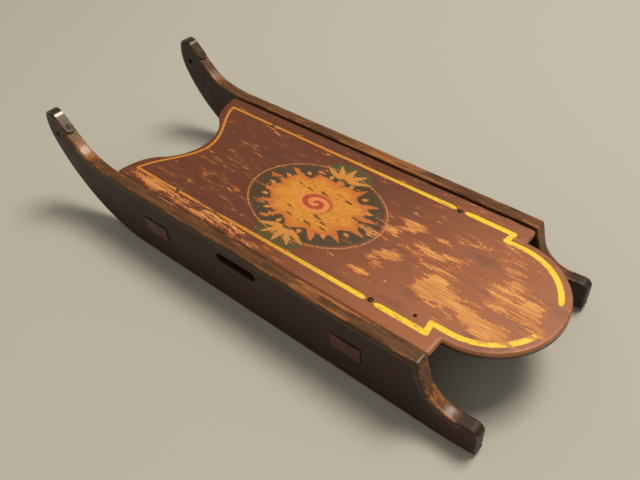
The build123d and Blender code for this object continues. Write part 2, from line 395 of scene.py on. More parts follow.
def make_mesh(name: str, points: np.ndarray, faces: list[np.ndarray],
              fields: dict[str, np.ndarray] | None = None) -> bpy.types.Object:
    """Make a smooth-shaded mesh object.

    Args:
        name: The piece's name.
        points: X, Y and Z of each point.
        faces: Arrays of faces, each array of one number of corners.
        fields: Values at the points, which the finish reads by name.

    Returns:
        The new object, at the origin.
    """
    mesh = bpy.data.meshes.new(name)
    corners = np.concatenate([group.ravel() for group in faces])
    sizes = np.concatenate([np.full(len(group), group.shape[1]) for group in faces])
    starts = np.concatenate([[0], np.cumsum(sizes)[:-1]])
    mesh.vertices.add(len(points))
    mesh.vertices.foreach_set("co", points.astype(np.float32).ravel())
    mesh.loops.add(len(corners))
    mesh.loops.foreach_set("vertex_index", corners.astype(np.int32))
    mesh.polygons.add(len(sizes))
    mesh.polygons.foreach_set("loop_start", starts.astype(np.int32))
    mesh.polygons.foreach_set("use_smooth", np.ones(len(sizes), bool))
    mesh.update(calc_edges=True)
    mesh.validate()
    for key, values in (fields or {}).items():
        mesh.attributes.new(key, "FLOAT", "POINT").data.foreach_set(
            "value", values.astype(np.float32)
        )
    piece = bpy.data.objects.new(name, mesh)
    bpy.context.scene.collection.objects.link(piece)
    return piece


# ---------------------------------------------------------------- finishes


Source = bpy.types.NodeSocket | float | Colour


class Graph:
    """Short forms for one material's shader nodes, on Object coordinates."""

    def __init__(self, name: str) -> None:
        """Start a material.

        Args:
            name: The material's name.
        """
        self.material = bpy.data.materials.new(name)
        self.material.use_nodes = True
        self.tree = self.material.node_tree
        self.tree.nodes.clear()
        self.place = self.add("ShaderNodeTexCoord").outputs["Object"]

    def add(self, kind: str, inputs: dict | None = None, **settings: object) -> bpy.types.Node:
        """Add a node.

        Args:
            kind: The node's type.
            inputs: Values or sockets for its inputs, by name or number.
            settings: Values for its properties.

        Returns:
            The node.
        """
        node = self.tree.nodes.new(kind)
        for key, value in settings.items():
            setattr(node, key, value)
        for key, value in (inputs or {}).items():
            if isinstance(value, bpy.types.NodeSocket):
                self.tree.links.new(value, node.inputs[key])
            else:
                node.inputs[key].default_value = value
        return node

    def stretched(self, x: float, y: float, z: float) -> bpy.types.NodeSocket:
        """Give the place with each axis scaled, for patterns that run along one of them."""
        return self.add("ShaderNodeMapping", {"Vector": self.place, "Scale": (x, y, z)}).outputs[0]

    def noise(self, at: bpy.types.NodeSocket, scale: float, detail: float = 4,
              roughness: float = 0.55, distortion: float = 0.0) -> bpy.types.NodeSocket:
        """Add fractal noise.

        Args:
            at: The place.
            scale: Waves per metre, roughly.
            detail: How many finer layers it has.
            roughness: Strength of each finer layer.
            distortion: How far the place is shaken first.

        Returns:
            The noise, mostly from 0.3 to 0.7.
        """
        return self.add(
            "ShaderNodeTexNoise",
            {"Vector": at, "Scale": scale, "Detail": detail, "Roughness": roughness,
             "Distortion": distortion},
        ).outputs["Fac"]

    def math(self, operation: str, first: Source, second: Source = 0.0) -> bpy.types.NodeSocket:
        """Combine two numbers.

        Args:
            operation: The name of the operation, such as ADD.
            first: First number.
            second: Second number.

        Returns:
            The result.
        """
        return self.add(
            "ShaderNodeMath", {0: first, 1: second}, operation=operation
        ).outputs[0]

    def step(self, value: Source, low: float, high: float,
             start: float = 0.0, end: float = 1.0) -> bpy.types.NodeSocket:
        """Turn a value smoothly into another.

        Args:
            value: The value.
            low: Where the change begins.
            high: Where it ends; it may be below the first.
            start: Result at low.
            end: Result at high.

        Returns:
            The result, held at its ends outside low and high.
        """
        return self.add(
            "ShaderNodeMapRange",
            {"Value": value, "From Min": low, "From Max": high, "To Min": start, "To Max": end},
            interpolation_type="SMOOTHSTEP",
        ).outputs[0]

    def blend(self, share: Source, below: Source, above: Source) -> bpy.types.NodeSocket:
        """Lay one colour over another.

        Args:
            share: How much of the upper colour shows.
            below: The lower colour.
            above: The upper colour.

        Returns:
            The mixed colour.
        """
        return self.add(
            "ShaderNodeMix", {0: share, 6: below, 7: above}, data_type="RGBA"
        ).outputs[2]

    def read(self, name: str) -> bpy.types.NodeSocket:
        """Read a value that the mesh carries at its points."""
        return self.add("ShaderNodeAttribute", attribute_name=name).outputs["Fac"]

    def axis(self, name: str) -> bpy.types.NodeSocket:
        """Read the place along X, Y or Z, in metres."""
        return self.add("ShaderNodeSeparateXYZ", {0: self.place}).outputs[name]

    def finish(self, colour: Source, roughness: Source, height: Source, depth: float,
               metallic: float = 0.0, specular: float = 0.5, coat: float = 0.0,
               coat_roughness: float = 0.3) -> bpy.types.Material:
        """Close the material with a Principled shader.

        Args:
            colour: Base colour.
            roughness: Roughness.
            height: Height of the surface, 0 to 1.
            depth: What a height of 1 measures, in metres.
            metallic: Share of metal.
            specular: Specular level.
            coat: Share of varnish.
            coat_roughness: The varnish's roughness.

        Returns:
            The material.
        """
        bump = self.add("ShaderNodeBump", {"Strength": 1.0, "Distance": depth, "Height": height})
        shader = self.add(
            "ShaderNodeBsdfPrincipled",
            {"Base Color": colour, "Roughness": roughness, "Metallic": metallic,
             "Specular IOR Level": specular, "Coat Weight": coat,
             "Coat Roughness": coat_roughness, "Normal": bump.outputs[0]},
        )
        self.add("ShaderNodeOutputMaterial", {"Surface": shader.outputs[0]})
        return self.material


@dataclass(frozen=True)
class AgedWood:
    """Bare, handled softwood with its grain along Y: the layer under every paint."""

    light: Colour = tone(236, 170, 92)
    dark: Colour = tone(182, 106, 50)
    pore: Colour = tone(84, 44, 22)

    def lay(self, graph: Graph) -> tuple[bpy.types.NodeSocket, bpy.types.NodeSocket]:
        """Add the wood's nodes.

        Args:
            graph: The material being made.

        Returns:
            Its colour and its grain height.
        """
        grain = graph.noise(graph.stretched(1, 0.035, 1), 520, 5, 0.62, 0.4)
        bands = graph.noise(graph.stretched(1, 0.05, 1), 70, 3, 0.5, 1.2)
        pores = graph.noise(graph.stretched(1, 0.02, 1), 1500, 2, 0.5)
        colour = graph.blend(graph.step(grain, 0.32, 0.68), self.dark, self.light)
        colour = graph.blend(graph.step(bands, 0.42, 0.7, 0, 0.55), colour, self.dark)
        colour = graph.blend(graph.step(pores, 0.36, 0.28, 0, 0.8), colour, self.pore)
        return colour, graph.math("SUBTRACT", grain, graph.step(pores, 0.38, 0.28, 0, 0.6))


@dataclass(frozen=True)
class DeckPaint:
    """The deck's oil paint: red-brown ground, yellow lining and a faded rosette, with painted sheen
    towards the rear and painted shade beside the runners.
    """

    wood: AgedWood = AgedWood()
    ground_front: Colour = tone(102, 50, 25)
    # Painted sheen: the lighter ground colour that the deck turns to towards the rear and the left
    # side.
    ground_rear_sheen: Colour = tone(156, 92, 56)
    ground_shade: Colour = tone(78, 40, 26)
    glaze: Colour = tone(158, 106, 40)
    ochre: Colour = tone(206, 140, 40)
    yellow: Colour = tone(255, 226, 44)
    panel: Colour = tone(222, 150, 44)
    panel_red: Colour = tone(196, 92, 40)
    shade: Colour = tone(72, 52, 34)
    foliage: Colour = tone(58, 60, 26)
    foliage_light: Colour = tone(92, 86, 36)
    blossom: Colour = tone(206, 126, 62)
    rose: Colour = tone(168, 62, 34)
    rose_light: Colour = tone(226, 136, 74)
    thread: Colour = tone(216, 158, 96)
    # Dark brown for the rosette's marks, and for the painted shade beside the runners.
    mark_and_gap_shade: Colour = tone(62, 40, 18)
    edge: Colour = tone(176, 126, 78)
    under: Colour = tone(70, 44, 28)
    undercoat: Colour = tone(182, 92, 48)
    # Where the painted sheen gradient starts and ends, measured along Y plus half of X.
    rear: Pair = (0.0, 0.34)
    yellow_from: Pair = (-0.05, 0.24)
    bare_from: Pair = (0.45, 0.475)
    thin_from: Pair = (0.36, 0.465)
    torn_width: float = 42 * MM
    fleck_width: float = 11 * MM
    lining_fleck: float = 3.2 * MM
    lining_edge: float = 0.35 * MM
    painted_depth: Pair = (4 * MM, 6 * MM)
    relief: float = 0.35 * MM

    def material(self, deck_top: float) -> bpy.types.Material:
        """Make the material.

        Args:
            deck_top: Height of the deck's upper face.

        Returns:
            The material.
        """
        graph = Graph("deck_paint_finish")
        wood, grain = self.wood.lay(graph)
        streak = graph.noise(graph.stretched(1, 0.22, 1), 130, 7, 0.7, 0.5)
        chip = graph.noise(graph.stretched(1, 0.4, 1), 640, 5, 0.62)
        cloud = graph.noise(graph.stretched(1, 0.3, 1), 34, 5, 0.6)
        # Painted sheen: the ground lightens from the front colour to the rear colour towards the
        # rear and the left (+X) side.
        across = graph.math("MULTIPLY", graph.axis("X"), 0.5)
        rearward_sheen = graph.step(graph.math("ADD", graph.axis("Y"), across), *self.rear)

        ground = graph.blend(rearward_sheen, self.ground_front, self.ground_rear_sheen)
        ground = graph.blend(graph.step(cloud, 0.48, 0.7, 0, 0.4), ground, self.ground_shade)
        rubbed = graph.math("MULTIPLY", graph.step(streak, 0.5, 0.66), graph.read("glaze"))
        ground = graph.blend(rubbed, ground, self.glaze)

        ragged = graph.math("MULTIPLY", graph.math("SUBTRACT", streak, 0.5), self.torn_width)
        paint = self._panel(graph, ground, ragged, chip)
        fray = graph.math("MULTIPLY", graph.math("SUBTRACT", chip, 0.5), self.lining_fleck)
        line = graph.math("ADD", graph.read("lining"), fray)
        line = graph.step(line, self.lining_edge, -self.lining_edge)
        # The lining turns from ochre in front to yellow towards the rear.
        yellower_rearward = graph.step(graph.axis("Y"), *self.yellow_from)
        lining = graph.blend(yellower_rearward, self.ochre, self.yellow)
        lining = graph.blend(graph.step(chip, 0.42, 0.6, 0.35, 0), lining, self.panel_red)
        paint = graph.blend(line, paint, lining)

        spread = graph.math("MULTIPLY", graph.math("SUBTRACT", streak, 0.5), 1.35)
        worn = graph.math("ADD", graph.math("MULTIPLY", graph.read("wear"), 0.34), spread)
        worn = graph.math("ADD", worn, graph.math("MULTIPLY", chip, 0.5))
        bare = graph.step(worn, *self.bare_from)
        thin = graph.step(worn, *self.thin_from, 0, 0.75)
        paint = graph.blend(thin, paint, self.undercoat)
        colour = graph.blend(bare, paint, wood)
        colour = graph.blend(graph.read("rim"), colour, self.edge)
        below = graph.step(graph.axis("Z"), *(deck_top - depth for depth in self.painted_depth))
        colour = graph.blend(below, colour, self.under)
        # Painted shade: the deck's sides darken where they sit between the runners.
        grime = graph.step(graph.read("grime"), 0, 1, 0, 0.75)
        colour = graph.blend(grime, colour, self.mark_and_gap_shade)

        roughness = graph.step(bare, 0, 1, 0.42, 0.62)
        roughness = graph.math("ADD", roughness, graph.step(cloud, 0.3, 0.7, -0.08, 0.1))
        height = graph.math("ADD", graph.math("MULTIPLY", grain, 0.45),
                            graph.math("MULTIPLY", bare, -0.3))
        height = graph.math("ADD", height, graph.math("MULTIPLY", line, 0.25))
        height = graph.math("ADD", height, graph.math("MULTIPLY", cloud, 0.6))
        return graph.finish(colour, roughness, height, self.relief, coat=0.12, coat_roughness=0.35)

    def _panel(self, graph: Graph, ground: bpy.types.NodeSocket, ragged: bpy.types.NodeSocket,
               chip: bpy.types.NodeSocket) -> bpy.types.NodeSocket:
        """Lay the faded ornament over the ground.

        Args:
            graph: The material being made.
            ground: The colour under it.
            ragged: How far the worn side of the panel is eaten away, in metres.
            chip: Fine chipping noise.

        Returns:
            The colour with the ornament on it.
        """
        fleck = graph.math("MULTIPLY", graph.math("SUBTRACT", chip, 0.5), self.fleck_width)
        ragged = graph.math("ADD", ragged, graph.math("MULTIPLY", fleck, 0.5))
        colour = self._dab(graph, ground, "shade", fleck, self.shade, self.foliage, chip)
        body = graph.math("ADD", graph.read("panel"),
                          graph.math("MULTIPLY", ragged, graph.read("panel_feather")))
        blush = graph.math("MULTIPLY", graph.step(body, -16 * MM, 2 * MM), 0.75)
        fill = graph.blend(blush, self.panel, self.panel_red)
        patchy = graph.noise(graph.stretched(1, 0.5, 1), 210, 5, 0.65, 0.8)
        fill = graph.blend(graph.step(patchy, 0.54, 0.62, 0, 0.65), fill, self.panel_red)
        fill = graph.blend(graph.step(patchy, 0.42, 0.34, 0, 0.7), fill, self.glaze)
        fill = graph.blend(graph.step(chip, 0.44, 0.34, 0, 0.8), fill, self.ground_front)
        colour = graph.blend(graph.step(body, 0.9 * MM, -0.9 * MM, 0, 0.92), colour, fill)
        for name, low, high in (
            ("foliage", self.foliage, self.foliage_light),
            ("leaves", self.panel, self.blossom),
            ("blossom", self.blossom, self.panel),
            ("marks", self.mark_and_gap_shade, self.foliage),
            ("thread", self.thread, self.glaze),
        ):
            colour = self._dab(graph, colour, name, fleck, low, high, chip)
        petals = graph.step(graph.math("ADD", graph.read("rose_swirl"), chip), 0.8, 1.2)
        rose = graph.blend(petals, self.rose, self.rose_light)
        disc = graph.math("ADD", graph.read("rose"), graph.math("MULTIPLY", fleck, 0.4))
        return graph.blend(graph.step(disc, 2 * MM, -5 * MM, 0, 0.95), colour, rose)

    def _dab(self, graph: Graph, below: bpy.types.NodeSocket, name: str,
             fleck: bpy.types.NodeSocket, low: Colour, high: Colour,
             chip: bpy.types.NodeSocket) -> bpy.types.NodeSocket:
        """Paint one named shape over a colour, with a flaked edge and two mixed tones.

        Args:
            graph: The material being made.
            below: The colour under it.
            name: The shape's name on the mesh.
            fleck: How far its edge is flaked, in metres.
            low: Its first tone.
            high: Its second tone.
            chip: Fine chipping noise.

        Returns:
            The colour with the shape on it.
        """
        shape = graph.math("ADD", graph.read(name), graph.math("MULTIPLY", fleck, 0.35))
        dab = graph.blend(graph.step(chip, 0.4, 0.6), low, high)
        return graph.blend(graph.step(shape, 0.6 * MM, -0.6 * MM, 0, 0.9), below, dab)


@dataclass(frozen=True)
class RunnerPaint:
    """The runners' dark paint: rubbed through to wood on the arrises, with a thin tan bead line."""

    wood: AgedWood = AgedWood(light=tone(182, 120, 64), dark=tone(108, 66, 34))
    ground: Colour = tone(44, 27, 18)
    ground_red: Colour = tone(58, 29, 18)
    faded: Colour = tone(108, 70, 40)
    bead: Colour = tone(132, 96, 54)
    bead_inset: float = 8.5 * MM
    bead_half_width: float = 0.7 * MM
    bead_fleck: float = 3 * MM
    bead_edge: float = 0.5 * MM
    bare_from: Pair = (0.89, 0.93)
    thin_from: Pair = (0.78, 0.92)
    relief: float = 0.25 * MM

    def material(self, name: str) -> bpy.types.Material:
        """Make the material.

        Args:
            name: Its name.

        Returns:
            The material.
        """
        graph = Graph(name)
        wood, grain = self.wood.lay(graph)
        streak = graph.noise(graph.stretched(1, 0.14, 0.6), 170, 6, 0.64, 0.2)
        chip = graph.noise(graph.stretched(1, 0.45, 1), 640, 5, 0.62)
        cloud = graph.noise(graph.place, 22, 4, 0.6)
        colour = graph.blend(graph.step(cloud, 0.42, 0.66), self.ground, self.ground_red)
        offset = graph.math("SUBTRACT", graph.read("back"), self.bead_inset)
        line = graph.math("SUBTRACT", graph.math("ABSOLUTE", offset), self.bead_half_width)
        fray = graph.math("MULTIPLY", graph.math("SUBTRACT", chip, 0.5), self.bead_fleck)
        line = graph.step(graph.math("ADD", line, fray), self.bead_edge, -self.bead_edge)
        line = graph.math("MULTIPLY", line, graph.read("outer"))
        colour = graph.blend(graph.math("MULTIPLY", line, 0.8), colour, self.bead)
        band = graph.math("MULTIPLY", graph.read("band"), graph.step(streak, 0.36, 0.6, 0.4, 1))
        colour = graph.blend(band, colour, self.faded)
        worn = graph.math("ADD", graph.math("MULTIPLY", graph.read("wear"), 0.36), streak)
        worn = graph.math("ADD", worn, graph.math("MULTIPLY", chip, 0.4))
        bare = graph.step(worn, *self.bare_from)
        thin = graph.step(worn, *self.thin_from, 0, 0.5)
        colour = graph.blend(thin, colour, self.faded)
        colour = graph.blend(bare, colour, wood)
        roughness = graph.math("ADD", graph.step(graph.read("band"), 0, 1, 0.48, 0.24),
                               graph.step(cloud, 0.3, 0.7, -0.04, 0.12))
        height = graph.math("ADD", graph.math("MULTIPLY", grain, 0.5),
                            graph.math("MULTIPLY", bare, -0.3))
        height = graph.math("ADD", height, graph.math("MULTIPLY", cloud, 0.7))
        return graph.finish(colour, roughness, height, self.relief, specular=0.4)


@dataclass(frozen=True)
class BeamWood:
    """A crossbeam's or a wedge's hardwood under thin paint, with its grain along one axis."""

    name: str
    stretch: tuple[float, float, float]
    paint: Colour
    shade: Colour
    wood: Colour
    worn_share: float
    relief: float = 0.25 * MM

    def material(self) -> bpy.types.Material:
        """Make the material.

        Returns:
            The material. Bare wood shows where the paint's noise passes a limit.
        """
        graph = Graph(self.name)
        grain = graph.noise(graph.stretched(*self.stretch), 420, 5, 0.62, 0.3)
        pores = graph.noise(graph.stretched(*self.stretch), 1400, 2, 0.5)
        chip = graph.noise(graph.place, 240, 5, 0.65)
        cloud = graph.noise(graph.place, 34, 4, 0.6)
        colour = graph.blend(graph.step(cloud, 0.36, 0.66), self.shade, self.paint)
        bare = graph.step(graph.math("ADD", chip, graph.math("MULTIPLY", grain, 0.4)),
                          0.86 - self.worn_share, 0.94 - self.worn_share)
        colour = graph.blend(bare, colour, self.wood)
        colour = graph.blend(graph.step(pores, 0.4, 0.3, 0, 0.6), colour, self.shade)
        roughness = graph.step(cloud, 0.3, 0.7, 0.34, 0.56)
        height = graph.math("SUBTRACT", grain, graph.math("MULTIPLY", bare, 0.4))
        height = graph.math("SUBTRACT", height, graph.step(pores, 0.4, 0.3, 0, 0.5))
        return graph.finish(colour, roughness, height, self.relief, specular=0.3, coat=0.4,
                            coat_roughness=0.14)


class IronUse(Enum):
    """What the iron is: the value is its share of bright metal, its roughness and its gloss."""

    STRAP = (0.34, 0.25, 0.9)
    SCREW = (0.24, 0.42, 0.4)
    NAIL = (0.34, 0.46, 0.1)


@dataclass(frozen=True)
class WroughtIron:
    """Dark forged iron with a brown skin, hammer marks, pits and rubbed bright spots."""

    use: IronUse
    skin: Colour = tone(46, 37, 28)
    rust: Colour = tone(58, 40, 27)
    bright: Colour = tone(104, 88, 62)
    relief: float = 0.2 * MM

    def material(self) -> bpy.types.Material:
        """Make the material.

        Returns:
            The material. Bright spots lie where the hammer marks and pits stand highest.
        """
        share, smooth, gloss = self.use.value
        graph = Graph(f"{self.use.name.lower()}_iron_finish")
        hammer = graph.noise(graph.place, 110, 2, 0.4, 0.3)
        pits = graph.noise(graph.place, 900, 5, 0.7)
        cloud = graph.noise(graph.place, 60, 5, 0.62)
        colour = graph.blend(graph.step(cloud, 0.42, 0.62), self.skin, self.rust)
        rubbed = graph.math("ADD", hammer, graph.math("MULTIPLY", pits, 0.3))
        rubbed = graph.step(rubbed, 0.95 - share / 2, 1.08 - share / 2, 0, 0.8)
        colour = graph.blend(rubbed, colour, self.bright)
        roughness = graph.math("ADD", graph.step(rubbed, 0, 1, smooth + 0.03, smooth - 0.04),
                               graph.step(pits, 0.35, 0.65, -0.04, 0.08))
        height = graph.math("ADD", hammer, graph.math("MULTIPLY", graph.step(pits, 0.4, 0.3), -0.2))
        return graph.finish(colour, roughness, height, self.relief, metallic=0.7, coat=gloss,
                            coat_roughness=0.14)


# ------------------------------------------------------------------ pieces


def box_of(node: str) -> tuple[np.ndarray, np.ndarray]:
    """Give a CAD node's lowest and highest corner as arrays."""
    low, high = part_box(node)
    return np.array(low), np.array(high)


@dataclass(frozen=True)
class WornZone:
    """A stretch of soft spots, drawn from a seed, where paint is rubbed or a glaze shows.

    Lengths are in millimetres. The middle is the zone's, and the size is a spot's half sizes.
    """

    middle: Pair
    spread: Pair
    size: Pair
    strength: float
    count: int
    seed: int
    vary: float = 0.25

    def spots(self) -> np.ndarray:
        """Draw the zone's spots.

        Returns:
            For each spot its place, half sizes and strength. Places are even over the spread,
            and sizes and strengths vary by a quarter either way.
        """
        draw = np.random.default_rng(self.seed)
        places = self.middle + draw.uniform(-1, 1, (self.count, 2)) * self.spread
        vary = draw.uniform(1 - self.vary, 1 + self.vary, (self.count, 3))
        return np.c_[places, vary * (*self.size, self.strength)]


def blobs(points: np.ndarray, zones: Sequence[WornZone]) -> np.ndarray:
    """Add up soft spots, each one exp(-(du/a)^2 - (dv/b)^2) times its strength.

    Args:
        points: Places in the plane.
        zones: Where the spots lie.

    Returns:
        The sum at each point.
    """
    spots = np.vstack([zone.spots() for zone in zones])
    gap = (points[:, None] / MM - spots[:, :2]) / spots[:, 2:4]
    return (spots[:, 4] * np.exp(-(gap**2).sum(2))).sum(1)


def fan(count: int, start: float, end: float, reach: Pair, half: float,
        root: Pair = (0, 0)) -> np.ndarray:
    """Set brush strokes out like a fan, at even angles round a root.

    Args:
        count: How many.
        start: Angle of the first, in degrees.
        end: Angle of the last.
        reach: How far from the root each one starts and ends.
        half: Half width of a stroke.
        root: Middle of the fan.

    Returns:
        For each stroke its start, its end and its half width.
    """
    angle = np.radians(np.linspace(start, end, count))
    way = np.c_[np.cos(angle), np.sin(angle)]
    return np.c_[root + reach[0] * way, root + reach[1] * way, np.full(count, half)]


def strokes(points: np.ndarray, places: np.ndarray) -> np.ndarray:
    """Measure the distance to the nearest of some short brush strokes, negative inside one.

    Args:
        points: Places in the plane.
        places: For each stroke its start, its end and its half width, in millimetres.

    Returns:
        The least distance, in metres, to a stroke's edge; a stroke is fullest a third of the
        way along and tapers to both ends.
    """
    found = np.full(len(points), 1.0)
    for u0, v0, u1, v1, half in places:
        start, run = np.array([u0, v0]) * MM, np.array([u1 - u0, v1 - v0]) * MM
        share = np.clip((points - start) @ run / (run @ run), 0, 1)
        away = np.linalg.norm(points - start - share[:, None] * run, axis=1)
        width = half * MM * (0.2 + 0.8 * np.sin(np.pi * share**0.6))
        found = np.minimum(found, away - width)
    return found


@dataclass(frozen=True)
class Ornament:
    """A plain faded rosette: an oval scalloped panel, rays, leaf sprays and a spiral flower.

    Lengths are in millimetres. All shapes are drawn round and then stretched along Y.
    """

    middle: Pair = (4, 30)
    stretch: float = 1.4
    panel_radius: float = 56
    scallops: int = 9
    scallop_depth: float = 4
    rays: int = 14
    ray_reach: Pair = (46, 72)
    ray_half: float = 4.6
    shade_radius: float = 78
    ring_radius: float = 82
    ring_half: float = 0.8
    spray_root: float = 62
    spray_leaves: int = 5
    spray_spread: float = 60
    leaf_reach: Pair = (6, 34)
    leaf_half: float = 3.8
    foliage_size: Pair = (20, 30)
    dots: int = 14
    dot_reach: Pair = (58, 66)
    dot_half: float = 2.8
    marks: int = 12
    mark_zone: float = 44
    mark_run: Pair = (3, 12)
    mark_half: float = 2.4
    mark_seed: int = 51
    flower_radius: float = 21
    flower_turn: float = 2.2
    torn_from: float = 60
    torn_over: float = 110
    torn_share: Pair = (0.15, 0.8)

    def fields(self, plane: np.ndarray) -> dict[str, np.ndarray]:
        """Work out where each part of the rosette lies.

        Args:
            plane: X and Y of the deck's points, in metres.

        Returns:
            Signed distances in metres, negative inside, and two shares: how torn the panel's
            front is, and the flower's spiral, which is the sine of radius plus angle. The
            panel's radius varies as the cosine of the angle times the number of scallops.
        """
        east, north = ((plane / MM - self.middle) / (1, self.stretch)).T
        radius, angle = np.hypot(east, north), np.arctan2(north, east)
        round_plane = np.c_[east, north] * MM
        ray_gap, dot_gap = 360 / self.rays, 360 / self.dots
        scallop = self.panel_radius + self.scallop_depth * np.cos(self.scallops * angle)
        rays = fan(self.rays, 0, 360 - ray_gap, self.ray_reach, self.ray_half)
        dots = fan(self.dots, dot_gap / 2, 360 - dot_gap / 2, self.dot_reach, self.dot_half)
        sprays = np.vstack([
            fan(self.spray_leaves, turn - self.spray_spread, turn + self.spray_spread,
                self.leaf_reach, self.leaf_half, (root, 0))
            for turn, root in ((0, self.spray_root), (180, -self.spray_root))
        ])
        wide, long = self.foliage_size
        beside = np.abs(east) - self.spray_root - wide
        foliage = (np.hypot(beside / wide, north / long) - 1) * wide
        torn = self.torn_share[0] + (self.torn_from - plane[:, 1] / MM) / self.torn_over
        draw = np.random.default_rng(self.mark_seed)
        starts = draw.uniform(-self.mark_zone, self.mark_zone, (self.marks, 2))
        ends = starts + self.mark_run
        marks = np.c_[starts, ends, draw.uniform(0.5, 1, self.marks) * self.mark_half]
        return {
            "panel": np.minimum((radius - scallop) * MM, strokes(round_plane, rays)),
            "panel_feather": np.clip(torn, *self.torn_share),
            "shade": (radius - self.shade_radius) * MM,
            "foliage": foliage * MM,
            "leaves": strokes(round_plane, sprays),
            "blossom": strokes(round_plane, dots),
            "marks": strokes(round_plane, marks),
            "thread": (np.abs(radius - self.ring_radius) - self.ring_half) * MM,
            "rose": (radius - self.flower_radius) * MM,
            "rose_swirl": 0.5 + 0.5 * np.sin(radius / self.flower_turn + angle),
        }


@dataclass(frozen=True)
class DeckWear:
    """Where the deck is rubbed, where its lining is gone and where its ochre glaze shows."""

    lining_gaps: tuple[WornZone, ...] = (
        WornZone((-10, 398), (26, 4), (12, 12), 7, 4, 61),
        WornZone((105, -150), (2, 90), (6, 12), 1, 4, 62),
    )
    nail_gap: Pair = (9, 6)
    nail_strength: float = 9
    worn: tuple[WornZone, ...] = (
        WornZone((5, 175), (70, 55), (6.5, 15), 0.8, 19, 63),
        WornZone((-10, 330), (78, 80), (13, 21), 0.6, 20, 64),
        WornZone((119, -60), (4, 150), (8, 42), 0.45, 6, 65),
    )
    glazed: tuple[WornZone, ...] = (
        WornZone((55, -165), (55, 50), (12, 21), 0.7, 8, 66),
        WornZone((120, -20), (4, 170), (10, 60), 0.9, 5, 67),
        WornZone((0, 320), (20, 20), (80, 60), 0.3, 2, 68),
    )
    base_glaze: float = 0.12
    rim_wear: float = 0.3

    def gaps(self) -> list[WornZone]:
        """Find where the lining is gone.

        Returns:
            Zones at the tail, along the side and round the two nails.
        """
        low, high = (corner / MM for corner in box_of("rear_deck_nails"))
        head = (high[1] - low[1]) / 2
        nails = [
            WornZone((across, low[1] + head), (0, 0), self.nail_gap, self.nail_strength, 1, 69)
            for across in (low[0] + head, high[0] - head)
        ]
        return [*self.lining_gaps, *nails]

    def fields(self, plane: np.ndarray, rim: np.ndarray) -> dict[str, np.ndarray]:
        """Work out how worn the deck is.

        Args:
            plane: X and Y of the deck's points, in metres.
            rim: Share of the way down the rounded top arris.

        Returns:
            The wear of the paint, and the share of ochre glaze that shows.
        """
        return {
            "wear": blobs(plane, self.worn) + self.rim_wear * rim,
            "glaze": np.clip(blobs(plane, self.glazed) + self.base_glaze, 0, 1),
        }


